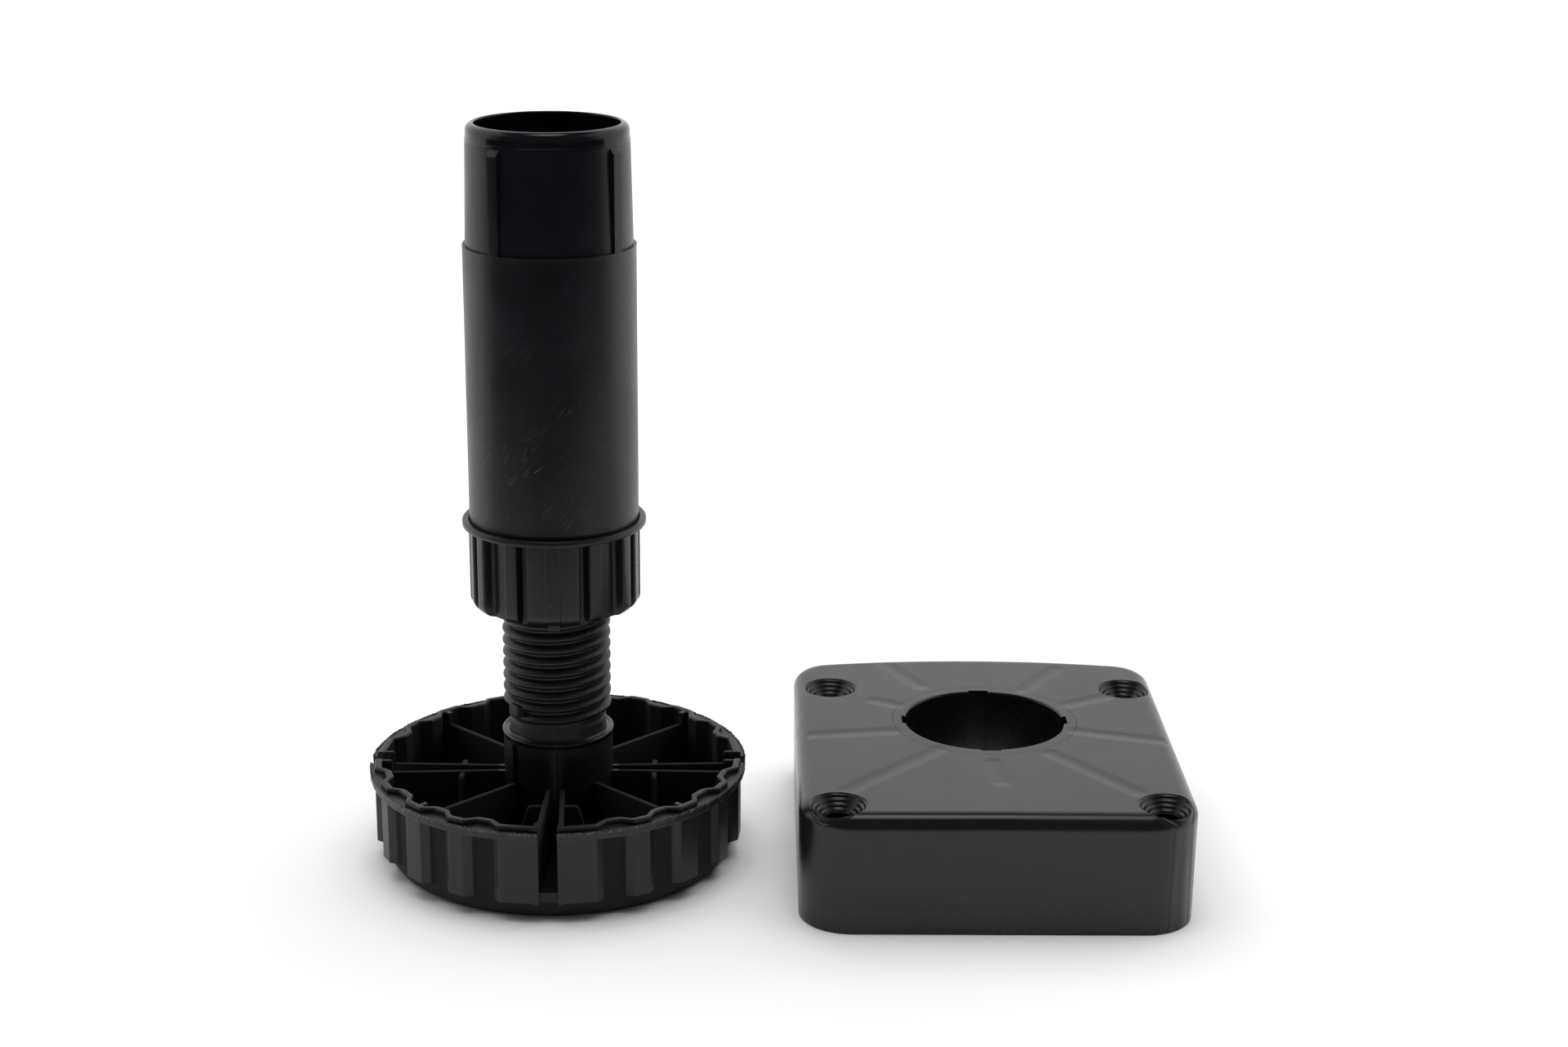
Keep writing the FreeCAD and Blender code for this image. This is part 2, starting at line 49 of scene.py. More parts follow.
def link(name, bm, sharp=32.0):
    """bmesh in millimetres to a smooth-shaded object in metres with sharp creases"""
    bmesh.ops.recalc_face_normals(bm, faces=bm.faces[:])
    for f in bm.faces:
        f.smooth = True
    for e in bm.edges:
        if len(e.link_faces) == 2 and e.calc_face_angle(0.0) > math.radians(sharp):
            e.smooth = False
    for v in bm.verts:
        v.co *= 0.001
    mesh = bpy.data.meshes.new(name)
    bm.to_mesh(mesh)
    bm.free()
    ob = bpy.data.objects.new(name, mesh)
    COL.objects.link(ob)
    return ob


def shell(verts, faces):
    bm = bmesh.new()
    vs = [bm.verts.new(v) for v in verts]
    for f in faces:
        bm.faces.new([vs[i] for i in f])
    bmesh.ops.recalc_face_normals(bm, faces=bm.faces[:])
    return bm


def rounded(points, step=22.0):
    """closed outline of (x, y, radius) corners as points, each corner an arc"""
    out = []
    n = len(points)
    for i in range(n):
        x, y, r = points[i]
        p = np.array([x, y])
        a = np.array(points[i - 1][:2]) - p
        b = np.array(points[(i + 1) % n][:2]) - p
        la, lb = np.linalg.norm(a), np.linalg.norm(b)
        a, b = a / la, b / lb
        turn = math.acos(max(-1.0, min(1.0, float(-(a @ b)))))
        if r <= 1e-6 or turn < 1e-3:
            out.append((x, y))
            continue
        t = min(r * math.tan(turn / 2), 0.49 * la, 0.49 * lb)
        rr = t / math.tan(turn / 2)
        mid = (a + b) / np.linalg.norm(a + b)
        c = p + mid * (rr / math.cos(turn / 2))
        s, e = p + a * t - c, p + b * t - c
        k = max(2, int(math.ceil(math.degrees(turn) / step)))
        sa = math.atan2(s[1], s[0])
        d = math.atan2(e[1], e[0]) - sa
        d = (d + math.pi) % (2 * math.pi) - math.pi
        for j in range(k + 1):
            w = sa + d * j / k
            out.append((c[0] + rr * math.cos(w), c[1] + rr * math.sin(w)))
    return out


def lathe(profile, azs, rf=None):
    """closed ring surface from a closed (r, z) outline"""
    verts = []
    n, m = len(azs), len(profile)
    for az in azs:
        for r, z in profile:
            if rf:
                r, z = rf(r, z, az)
            verts.append(at(r, az, z))
    faces = []
    for i in range(n):
        for j in range(m):
            a, b = i * m + j, i * m + (j + 1) % m
            c, d = ((i + 1) % n) * m + (j + 1) % m, ((i + 1) % n) * m + j
            faces.append((a, b, c, d))
    return shell(verts, faces)


def solid_lathe(profile, azs, rf=None):
    """closed surface from an open (r, z) outline whose two ends lie on the axis"""
    inner = profile[1:-1]
    m, n = len(inner), len(azs)
    verts = [(0, 0, profile[0][1]), (0, 0, profile[-1][1])]
    for az in azs:
        for r, z in inner:
            if rf:
                r, z = rf(r, z, az)
            verts.append(at(r, az, z))
    faces = []
    for i in range(n):
        k = (i + 1) % n
        faces.append((0, 2 + k * m, 2 + i * m))
        faces.append((1, 2 + i * m + m - 1, 2 + k * m + m - 1))
        for j in range(m - 1):
            faces.append((2 + i * m + j, 2 + i * m + j + 1, 2 + k * m + j + 1, 2 + k * m + j))
    return shell(verts, faces)


def loft(rings):
    """closed surface through closed rings of equal length, both ends capped"""
    verts, faces = [], []
    m = len(rings[0])
    for ring in rings:
        verts += [tuple(p) for p in ring]
    for i in range(len(rings) - 1):
        for j in range(m):
            a, b = i * m + j, i * m + (j + 1) % m
            faces.append((a, b, b + m, a + m))
    faces.append(tuple(range(m)))
    faces.append(tuple(reversed(range((len(rings) - 1) * m, len(rings) * m))))
    return shell(verts, faces)


def prism(outline, z0, z1):
    return loft([[(x, y, z0) for x, y in outline], [(x, y, z1) for x, y in outline]])


def bar(p, q, half, z0, z1, r=0.22):
    """straight rib from p to q with a rounded top"""
    p, q = np.array(p, float), np.array(q, float)
    u = (q - p) / np.linalg.norm(q - p)
    n = np.array([-u[1], u[0]])
    prof = [(-half, z0)]
    for k in range(4):
        w = math.radians(30 * k)
        prof.append((-half + r - r * math.cos(w), z1 - r + r * math.sin(w)))
    for k in range(4):
        w = math.radians(30 * k)
        prof.append((half - r + r * math.sin(w), z1 - r + r * math.cos(w)))
    prof.append((half, z0))
    rings = []
    for e in (p, q):
        rings.append([(e[0] + n[0] * s, e[1] + n[1] * s, z) for s, z in prof])
    return loft(rings)


def merge(parts):
    """several shells that do not touch each other, as one bmesh"""
    bm = bmesh.new()
    for part in parts:
        mesh = bpy.data.meshes.new("tmp")
        part.to_mesh(mesh)
        part.free()
        bm.from_mesh(mesh)
        bpy.data.meshes.remove(mesh)
    return bm


def combine(base, steps):
    """boolean chain; steps are ("UNION" | "DIFFERENCE", bmesh)"""
    def tmp(bm):
        mesh = bpy.data.meshes.new("tmp")
        bmesh.ops.triangulate(bm, faces=bm.faces[:])
        bm.to_mesh(mesh)
        bm.free()
        ob = bpy.data.objects.new("tmp", mesh)
        COL.objects.link(ob)
        return ob
    body = tmp(base)
    for op, part in steps:
        tool = tmp(part)
        mod = body.modifiers.new("step", "BOOLEAN")
        mod.operation = op
        mod.solver = "MANIFOLD"
        mod.object = tool
        deps = bpy.context.evaluated_depsgraph_get()
        mesh = bpy.data.meshes.new_from_object(body.evaluated_get(deps))
        body.modifiers.clear()
        old = body.data
        body.data = mesh
        bpy.data.meshes.remove(old)
        data = tool.data
        bpy.data.objects.remove(tool)
        bpy.data.meshes.remove(data)
    bm = bmesh.new()
    bm.from_mesh(body.data)
    data = body.data
    bpy.data.objects.remove(body)
    bpy.data.meshes.remove(data)
    bmesh.ops.remove_doubles(bm, verts=bm.verts[:], dist=0.0008)
    bmesh.ops.dissolve_degenerate(bm, edges=bm.edges[:], dist=0.0005)
    return bm


def wobble(az, seed, terms=7):
    """small repeatable unevenness round the axis, about -1 to 1"""
    v = 0.0
    for k in range(terms):
        f = 3 + int(11.7 * (k + 1) * (1.0 + 0.37 * seed)) % 97
        v += math.sin(math.radians(az) * f + 1.7 * seed + 2.3 * k) / (1.0 + 0.25 * k)
    return v / 2.6


def spread(n, extra=()):
    azs = set(round(360.0 * i / n, 4) for i in range(n))
    for e in extra:
        azs.add(round(e % 360.0, 4))
    azs = sorted(azs)
    keep = [azs[0]]
    marks = set(round(e % 360.0, 4) for e in extra)
    for a in azs[1:]:
        if a - keep[-1] < 0.35:
            if a in marks and keep[-1] not in marks:
                keep[-1] = a
                continue
            if a not in marks:
                continue
        keep.append(a)
    return keep


def weighted(ob):
    mod = ob.modifiers.new("normals", "WEIGHTED_NORMAL")
    mod.keep_sharp = True
    mod.weight = 60
    return ob


# --------------------------------------------------------------- outer tube
def tube_edge(r, z, az):
    if z > 127.7:
        if r > 16.0:
            k = 0.5 + 0.5 * wobble(az, 1.0)
            return r + 0.09 * k, z + 0.05 * k
        return r - 0.05, z
    return r, z


prof = rounded([(15.4, 71.67, .2), (17.0, 71.67, .25), (17.0, 127.99, .1), (15.42, 127.99, .1)])
full = []
for i, p in enumerate(prof):
    full.append(p)
    nx = prof[(i + 1) % len(prof)]
    if abs(p[1] - nx[1]) > 20:
        s = 1 if nx[1] > p[1] else -1
        for d in (0.25, 0.9, 3.0):
            full.append((p[0], p[1] + s * d))
        for k in range(1, 8):
            full.append((p[0], p[1] + (nx[1] - p[1]) * k / 8))
        for d in (3.0, 0.9, 0.25):
            full.append((p[0], nx[1] - s * d))
tube = link("tube", lathe(full, spread(144), tube_edge))

# ----------------------------------------------------------------- top plug
RIBS = [-34.4 + 90 * k for k in range(4)]


def plug_rib(r, z, az):
    if z < 128.005 or r < 15.5:
        return r, z
    for c in RIBS:
        d = abs((az - c + 180) % 360 - 180)
        if d < 4.7:
            if z <= 146.95:
                top = 17.0
            elif z <= 148.0:
                top = 17.0 - 0.95 * (z - 146.95) / 1.05
            else:
                return r, z
            m = 1.0 if d < 3.75 else max(0.0, 1.0 - (d - 3.75) / 0.75)
            m = m * m * (3 - 2 * m)
            return r + max(0.0, top - r) * m, z
    return r, z


def body_r(z):
    return 16.47 - (z - 128.0) * 0.49 / 22.0


zs = [128.01, 128.3, 129.0, 132, 136, 140, 144, 146.2, 146.95, 147.2, 147.6, 148.0, 148.08, 148.4, 148.62]
outer = [(body_r(z), z) for z in zs]
outer += [(body_r(148.66) + 0.05, 148.68), (body_r(148.72) + 0.05, 148.74), (body_r(148.8) - 0.04, 148.8), (15.95, 149.2), (15.93, 149.9)]
for k in range(1, 9):
    w = math.radians(90 * k / 9)
    outer.append((14.43 + 1.49 * math.cos(w), 150.2 + 1.5 * math.sin(w)))
rim = [(14.62, 151.7)]
for k in range(0, 5):
    w = math.radians(90 * k / 4)
    rim.append((14.5 - 0.3 * math.sin(w), 151.4 + 0.3 * math.cos(w)))
inner = [(14.2, 150.8), (14.2, 140.0), (14.2, 128.2), (14.15, 127.8), (13.45, 126.9), (13.4, 126.6), (13.4, 118.0), (13.4, 108.4), (13.7, 108.01)]
skirt = [(14.9, 108.01), (15.36, 108.9), (15.36, 118.0), (15.36, 127.6), (15.36, 128.01)]
prof = outer + rim + inner + skirt
marks = []
for c in RIBS:
    marks += [c - 4.7, c - 4.4, c - 4.1, c - 3.75, c - 3.2, c, c + 3.2, c + 3.75, c + 4.1, c + 4.4, c + 4.7]
plug = link("plug", lathe(prof, spread(120, marks), plug_rib), 40.0)

# ------------------------------------------------------------ adjusting nut
TURN = 2.8
GROOVES = []
for k in range(4):
    for a0, a1 in ((18.35, 25.2), (35.0, 55.0), (64.8, 71.65)):
        GROOVES.append((a0 + 90 * k + TURN, a1 + 90 * k + TURN))
R_RIB, R_FLOOR = 17.0, 14.7


def nut_outline():
    """(az, r) round the ribbed part: rounded crest edges, rounded groove corners"""
    pts = []
    for a0, a1 in GROOVES:
        for a, s in ((a0, 1), (a1, -1)):
            seq = []
            dd = math.degrees(1 / 17.0)
            for k in range(5):
                w = math.radians(22.5 * k)
                seq.append((a + s * (-0.42 + 0.42 * math.sin(w)) * dd, R_RIB - 0.42 + 0.42 * math.cos(w)))
            for k in range(5):
                w = math.radians(22.5 * k)
                seq.append((a + s * (0.12 + 0.7 - 0.7 * math.cos(w)) * dd * 1.1, R_FLOOR + 0.7 - 0.7 * math.sin(w)))
            pts += seq if s > 0 else seq[::-1]
    full = []
    for i, p in enumerate(pts):
        full.append(p)
        nx = pts[(i + 1) % len(pts)]
        gap = (nx[0] - p[0]) % 360
        if gap > 2.2 and gap < 180:
            k = int(gap / 1.7)
            for j in range(1, k):
                full.append((p[0] + gap * j / k, p[1] if abs(p[1] - nx[1]) < 0.01 else p[1] + (nx[1] - p[1]) * j / k))
    return full


def strip_h(az, z):
    for k in range(4):
        d = abs((az - 90 * k - TURN + 180) % 360 - 180)
        if d < 5.2:
            m = 1.0 if d < 4.6 else max(0.0, (5.2 - d) / 0.6)
            return 0.18 * m * min(1.0, max(0.0, (z - 54.9) / 0.4))
    return 0.0


outl = nut_outline()
extra = []
for k in range(4):
    for d in (-5.2, -4.9, -4.6, 4.6, 4.9, 5.2):
        extra.append((90 * k + TURN + d) % 360)
dense = {}
for az, r in outl:
    dense[round(az % 360, 4)] = r
for e in extra:
    dense.setdefault(round(e, 4), R_RIB)
outl = sorted(dense.items())
levels = [54.0, 54.02, 54.1, 54.3, 54.6, 54.9, 55.1, 55.3, 55.8, 56.4, 57.0, 57.4, 59, 62, 65, 68, 70.2, 71.0, 71.3]
rings = []


def cap_r(z):
    t = min(1.0, max(0.0, (z - 54.0) / 2.2))
    return 14.8 + 2.2 * math.sqrt(max(0.0, 1 - (1 - t) ** 2))


for z in levels:
    ring = []
    lim = cap_r(z)
    for az, r in outl:
        rr = min(r + strip_h(az, z), lim + strip_h(az, z))
        ring.append(at(rr, az, z))
    rings.append(ring)
nut_body = loft(rings)
flange = solid_lathe([(0, 70.4)] + rounded([(3.0, 70.4, 0), (16.0, 70.4, 0), (16.0, 71.07, 0), (18.47, 71.07, .3), (18.47, 72.42, .45),
                                           (17.12, 72.42, .25), (17.12, 71.6, .1), (15.32, 71.6, .1), (15.32, 84.0, .6), (3.0, 84.0, 0)])[0:]
                     + [(0, 84.0)], spread(160))
lug = prism([(-1.2, -14.2), (1.2, -14.2), (1.15, -15.85), (-1.15, -15.85)], 53.2, 55.0)
bmesh.ops.rotate(lug, verts=lug.verts[:], cent=(0, 0, 0), matrix=Matrix.Rotation(math.radians(TURN), 3, "Z"))
bore = solid_lathe([(0, 50.0), (12.1, 50.0), (12.1, 53.5), (11.8, 54.0), (11.3, 54.6), (11.3, 83.5), (11.7, 84.0), (12.0, 86.0), (0, 86.0)], spread(96))
nut = link("nut", combine(nut_body, [("UNION", flange), ("UNION", lug), ("DIFFERENCE", bore)]))

# --------------------------------------------------------------------- foot
CREST, VALLEY, WALL = 37.8, 36.0, 1.5
SLOT = 1.9
FLATS = [(14.6, 1), (18.2, 0), (23.0, 0), (26.4, 1), (31.6, 1), (35.0, 0), (39.6, 0), (43.0, 1), (50.0, 1), (53.4, 0),
         (58.6, 0), (62.0, 1), (68.0, 1), (71.4, 0), (76.6, 0), (80.0, 1)]


def wave_sides(full_ring):
    """outer and inner paths of one quarter of the wavy wall, from slot to slot"""
    def path(off):
        r0 = CREST - off
        a = math.degrees(math.asin(SLOT / r0))
        pts = [(a, r0)] + [(b, (CREST if k else VALLEY) - off) for b, k in FLATS] + [(90 - a, r0)]
        xy = [np.array(at(r, az)[:2]) for az, r in pts]
        out = [tuple(xy[0])]
        for i in range(1, len(xy) - 1):
            u, v = xy[i - 1] - xy[i], xy[i + 1] - xy[i]
            lu, lv = np.linalg.norm(u), np.linalg.norm(v)
            t = min(0.26, 0.3 * lu, 0.3 * lv)
            p0, p2 = xy[i] + u / lu * t, xy[i] + v / lv * t
            for k in range(4):
                s = k / 3
                out.append(tuple((1 - s) ** 2 * p0 + 2 * s * (1 - s) * xy[i] + s * s * p2))
        out.append(tuple(xy[-1]))
        return out
    return path(0.0), path(WALL)


def wall_shell(quarter, mirror):
    po, pi = wave_sides(False)
    prof = [(0.14, 4.3), (0.04, 4.36), (0, 4.52), (0, 20.0), (0.03, 20.22), (0.11, 20.4), (0.25, 20.5), (0.75, 20.5), (0.89, 20.4), (0.97, 20.22), (1.0, 20.0), (1.0, 4.3)]
    rings = []
    for i, (o, n) in enumerate(zip(po, pi)):
        ring = []
        for t, z in prof:
            zz = z + (0.03 * wobble(i * 7.3 + 31 * quarter, 2.0) if z > 19 else 0.0)
            ring.append((o[0] + (n[0] - o[0]) * t, o[1] + (n[1] - o[1]) * t, zz))
        rings.append(ring)
    bm = loft(rings)
    if mirror:
        bmesh.ops.scale(bm, vec=(-1, 1, 1), verts=bm.verts[:])
        bmesh.ops.reverse_faces(bm, faces=bm.faces[:])
    bmesh.ops.rotate(bm, verts=bm.verts[:], cent=(0, 0, 0),
                     matrix=Matrix.Rotation(math.radians(-90 * quarter if mirror else 90 * quarter), 3, "Z"))
    return bm


def band_shell(quarter, mirror):
    """ledge ring outside the wall with a rough moulding burr along its upper edge"""
    po, pi = wave_sides(False)
    rings = []
    # resample the wall's middle line by angle
    mid = [((o[0] + n[0]) / 2, (o[1] + n[1]) / 2) for o, n in zip(po, pi)]
    n = len(mid)
    dense = []
    for i in range(n - 1):
        a, b = np.array(mid[i]), np.array(mid[i + 1])
        k = max(1, int(np.linalg.norm(b - a) / 0.5))
        for j in range(k):
            dense.append(a + (b - a) * j / k)
    dense.append(np.array(mid[-1]))
    for i, p in enumerate(dense):
        az = math.degrees(math.atan2(p[0], -p[1]))
        s = az + 90 * quarter + (400 if mirror else 0)
        rough = 0.5 + 0.5 * wobble(s * 2.1, 3.0)
        rough2 = 0.5 + 0.5 * wobble(s * 5.3, 5.0)
        ends = i == 0 or i == len(dense) - 1
        ro = 38.62 + 0.10 * rough
        zt = 19.55 + 0.24 * rough2
        prof = [(None, 18.0), (ro - 0.25, 17.9), (ro - 0.08, 17.98), (ro, 18.2), (ro + 0.02, 19.2), (ro + 0.05 + 0.08 * rough2, zt),
                (ro - 0.12, zt + 0.05), (ro - 0.32, 19.5 + 0.05 * rough), (None, 19.5)]
        u = p / np.linalg.norm(p)
        ring = []
        for r, z in prof:
            if r is None:
                ring.append((p[0], p[1], z))
            else:
                q = u * r
                if i == 0:
                    q = np.array([SLOT, -math.sqrt(r * r - SLOT * SLOT)])
                if i == len(dense) - 1:
                    q = np.array([math.sqrt(r * r - SLOT * SLOT), -SLOT])
                ring.append((q[0], q[1], z))
        rings.append(ring)
    bm = loft(rings)
    if mirror:
        bmesh.ops.scale(bm, vec=(-1, 1, 1), verts=bm.verts[:])
        bmesh.ops.reverse_faces(bm, faces=bm.faces[:])
    bmesh.ops.rotate(bm, verts=bm.verts[:], cent=(0, 0, 0),
                     matrix=Matrix.Rotation(math.radians(-90 * quarter if mirror else 90 * quarter), 3, "Z"))
    return bm


def ring_shell():
    """low closed part of the wall under the slots, following the same waves"""
    po, pi = wave_sides(True)
    outer, inner = [], []
    quarter_o = [p for p in po[1:-1]]
    quarter_i = [p for p in pi[1:-1]]

    def spin(p, q, m):
        x, y = p
        if m:
            x = -x
        a = math.radians(-90 * q if m else 90 * q)
        return (x * math.cos(a) - y * math.sin(a), x * math.sin(a) + y * math.cos(a))
    for path, out in ((quarter_o, outer), (quarter_i, inner)):
        out += [spin(p, 0, False) for p in path] + [spin(p, 1, False) for p in path]
        left = [spin(p, 0, True) for p in path] + [spin(p, 1, True) for p in path]
        out += left[::-1]
    verts, faces = [], []
    m = len(outer)
    for path, z in ((outer, 4.3), (outer, 6.35), (inner, 6.5), (inner, 4.3)):
        verts += [(x, y, z) for x, y in path]
    # a small chamfer along the outer top edge
    for k in range(4):
        for j in range(m):
            a, b = k * m + j, k * m + (j + 1) % m
            c, d = ((k + 1) % 4) * m + (j + 1) % m, ((k + 1) % 4) * m + j
            faces.append((a, b, c, d))
    return shell(verts, faces)


def spun(make, count=4, mirror=False):
    out = []
    for k in range(count):
        bm = make(k)
        bmesh.ops.rotate(bm, verts=bm.verts[:], cent=(0, 0, 0), matrix=Matrix.Rotation(math.radians(90 * k), 3, "Z"))
        out.append(bm)
    return out


walls = [wall_shell(0, False), wall_shell(1, False), wall_shell(0, True), wall_shell(1, True)]
bands = [band_shell(0, False), band_shell(1, False), band_shell(0, True), band_shell(1, True)]
pairs = spun(lambda k: bar((1.35, -10.4), (2.42, -35.6), 0.47, 3.6, 17.8)) + spun(lambda k: bar((-1.35, -10.4), (-2.42, -35.6), 0.47, 3.6, 17.8))
posts = []
for s in (1, -1):
    def post(k, s=s):
        outl = rounded([(s * SLOT, -34.1, .25), (s * (SLOT + 0.95), -34.1, .4), (s * (SLOT + 0.95), -36.9, .1), (s * SLOT, -36.9, .1)])
        cx = s * (SLOT + 0.475)
        bm = loft([[(x, y, z) for x, y in outl] for z in (3.8, 19.6)]
                  + [[(cx + (x - cx) * 0.85, -35.6 + (y + 35.6) * 0.92, 20.1) for x, y in outl]]
                  + [[(cx + (x - cx) * 0.5, -35.6 + (y + 35.6) * 0.8, 20.38) for x, y in outl]])
        return bm
    posts += spun(post)
diags = []
ridges = []
for a in (45, 135, 225, 315):
    diags.append(bar(at(10.3, a)[:2], at(35.4, a)[:2], 0.55, 3.6, 17.8))
    ridges.append(bar(at(34.9, a)[:2], at(36.9, a)[:2], 0.6, 3.8, 20.38, 0.3))
ridges2 = []


def gusset(s):
    zt = 17.65
    pts = rounded([(s * 1.55, 6.4, 0), (s * 1.55, zt, .3), (s * 5.0, zt, 1.0), (s * 6.15, 13.9, 1.2), (s * 9.4, 3.6, 0), (s * 1.55, 3.6, 0)], 18.0)

    def make(k):
        rings = []
        for y, i in ((-19.3, 0.18), (-19.42, 0.05), (-19.6, 0.0), (-20.0, 0.0), (-20.18, 0.05), (-20.3, 0.18)):
            ring = []
            cx = s * 4.5
            for x, z in pts:
                k1 = 1 - i / 4.5
                ring.append((cx + (x - cx) * k1, y, z - (i if z > 10 else 0)))
            rings.append(ring)
        return loft(rings)
    return make


gussets = spun(gusset(1)) + spun(gusset(-1))


def seam(r, z, az):
    d = abs((az - 2.2 + 180) % 360 - 180)
    e = abs((az - 182.2 + 180) % 360 - 180)
    if 9.0 < r < 11.3 and z > 5.0 and min(d, e) < 0.9:
        return r + 0.05 * (1 - min(d, e) / 0.9), z
    return r, z


dish = [(0, 0.0), (12.0, 0.0), (25.0, 0.0)]
for k in range(0, 9):
    w = math.radians(90 * k / 8)
    dish.append((33.3 + 2.6 * math.sin(w) ** 1.25, 4.3 * (1 - math.cos(w))))
dish += [(35.9, 5.4), (35.9, 6.3), (35.7, 6.5), (34.8, 6.5), (34.6, 6.3), (34.6, 4.4), (34.2, 4.0), (28.0, 4.0), (20.0, 4.0), (12.0, 4.0),
         (11.35, 4.15), (11.2, 4.5), (11.2, 10.0), (11.2, 18.0), (11.2, 25.6), (11.2, 26.3), (11.3, 26.5), (11.42, 26.7), (11.45, 26.95),
         (11.36, 27.16), (11.2, 27.26), (11.02, 27.25), (10.86, 27.1), (10.65, 26.92), (10.4, 26.88), (10.1, 26.95), (9.93, 27.2), (9.87, 27.6),
         (9.86, 29.0), (9.84, 30.1), (9.7, 30.4), (0, 30.4)]
dish_bm = solid_lathe(dish, spread(168, [1.3, 1.75, 2.2, 2.65, 3.1, 181.3, 181.75, 182.2, 182.65, 183.1]), seam)

# thread: a helical grid, so that every crest line follows mesh edges
PITCH = 2.5
PER = 12
SEG = 120
ROOT, TOP = 9.82, 11.0
Z0 = 28.6


def tooth(u):
    """radius over the distance u (mm) from the crest line"""
    d = abs(u)
    if d <= 0.74:
        return TOP - 0.42 * (d / 0.74) ** 2.2
    if d <= 1.06:
        return TOP - 0.42 - (TOP - 0.42 - ROOT) * (d - 0.74) / 0.32
    return ROOT


OFFS = [-1.25, -1.1, -1.0, -0.74, -0.5, -0.25, 0.0, 0.25, 0.5, 0.74, 1.0, 1.1]
rows = 26 * PER
verts = []
for j in range(rows + 1):
    n, o = divmod(j, PER)
    for k in range(SEG + (1 if False else 0)):
        az = 360.0 * k / SEG
        zc = 47.64 - 10 * PITCH + PITCH * (az - 90.0) / 360.0 + PITCH * (n + 2)
        z = zc + OFFS[o]
        amp = min(1.0, max(0.0, (zc - 31.62) / 0.22))
        amp *= min(1.0, max(0.0, (98.6 - zc) / 0.5))
        r = ROOT + (tooth(OFFS[o]) - ROOT) * amp
        part = abs((az - 41.0 + 180) % 360 - 180)
        part = min(part, abs((az + 139.0 + 180) % 360 - 180))
        if part < 2.0 and r > 10.5:
            r -= 0.07 * (1 - part / 2.0) + 0.05
        verts.append(at(r, az, z))
faces = []
for j in range(rows):
    for k in range(SEG):
        if k < SEG - 1:
            faces.append((j * SEG + k, j * SEG + k + 1, (j + 1) * SEG + k + 1, (j + 1) * SEG + k))
        elif j + PER + 1 <= rows:
            faces.append((j * SEG + k, (j + PER) * SEG, (j + PER + 1) * SEG, (j + 1) * SEG + k))
# ragged ends closed to points on the axis
low = [(j * SEG) for j in range(0, PER + 1)]
low_loop = [k for k in range(SEG)]
bottom_loop = low_loop + [PER * SEG - 0 * SEG - SEG * 0 + 0][:0]
verts.append((0, 0, Z0))
tip0 = len(verts) - 1
verts.append((0, 0, 97.5))
tip1 = len(verts) - 1
loop0 = [k for k in range(SEG)] + [j * SEG for j in range(PER, 0, -1)]
loop1 = [rows * SEG + k for k in range(SEG)]
tail = [(rows - PER + j) * SEG + SEG - 1 for j in range(0, PER + 1)]
loop1 = [rows * SEG + k for k in range(SEG - 1)] + [(rows - i) * SEG + SEG - 1 for i in range(0, PER + 1)]
for i in range(len(loop0)):
    faces.append((loop0[(i + 1) % len(loop0)], loop0[i], tip0))
for i in range(len(loop1)):
    faces.append((loop1[i], loop1[(i + 1) % len(loop1)], tip1))
thread_bm = shell(verts, faces)
crown = solid_lathe([(0, 96.0), (9.78, 96.0), (9.78, 101.4), (9.3, 102.0), (0, 102.0)], spread(96))
key = bar(at(9.5, -52.8)[:2], at(11.95, -52.8)[:2], 1.1, 3.8, 25.9, 0.3)
stop = prism([(-1.6, -9.0), (1.6, -9.0), (1.4, -11.85), (-1.45, -11.85)], 32.0, 34.7)
bmesh.ops.bevel(stop, geom=stop.edges[:], offset=0.45, segments=3, affect="EDGES", profile=0.5)
bmesh.ops.rotate(stop, verts=stop.verts[:], cent=(0, 0, 0), matrix=Matrix.Rotation(math.radians(-45.8), 3, "Z"))
core = solid_lathe([(0, 3.0), (6.5, 3.0), (6.5, 101.0), (7.2, 102.6), (0, 102.6)], spread(72))
foot_bm = combine(dish_bm, [
    ("UNION", ring_shell()), ("UNION", merge(walls)), ("UNION", merge(bands)), ("UNION", merge(posts)),
    ("UNION", merge(pairs)), ("UNION", merge(diags)), ("UNION", merge(ridges)), ("UNION", merge(gussets)), ("UNION", key),
    ("UNION", thread_bm), ("UNION", crown), ("UNION", stop), ("DIFFERENCE", core)])
bmesh.ops.rotate(foot_bm, verts=foot_bm.verts[:], cent=(0, 0, 0), matrix=Matrix.Rotation(math.radians(0.8), 3, "Z"))
foot = link("foot_and_spindle", foot_bm)

# ------------------------------------------------------------ mounting plate
PX, PY = 89.0, 10.1
XL, XR, YF, YS, YM, RF, RB = -39.8, 38.65, -51.67, 36.0, 38.7, 10.4, 8.5


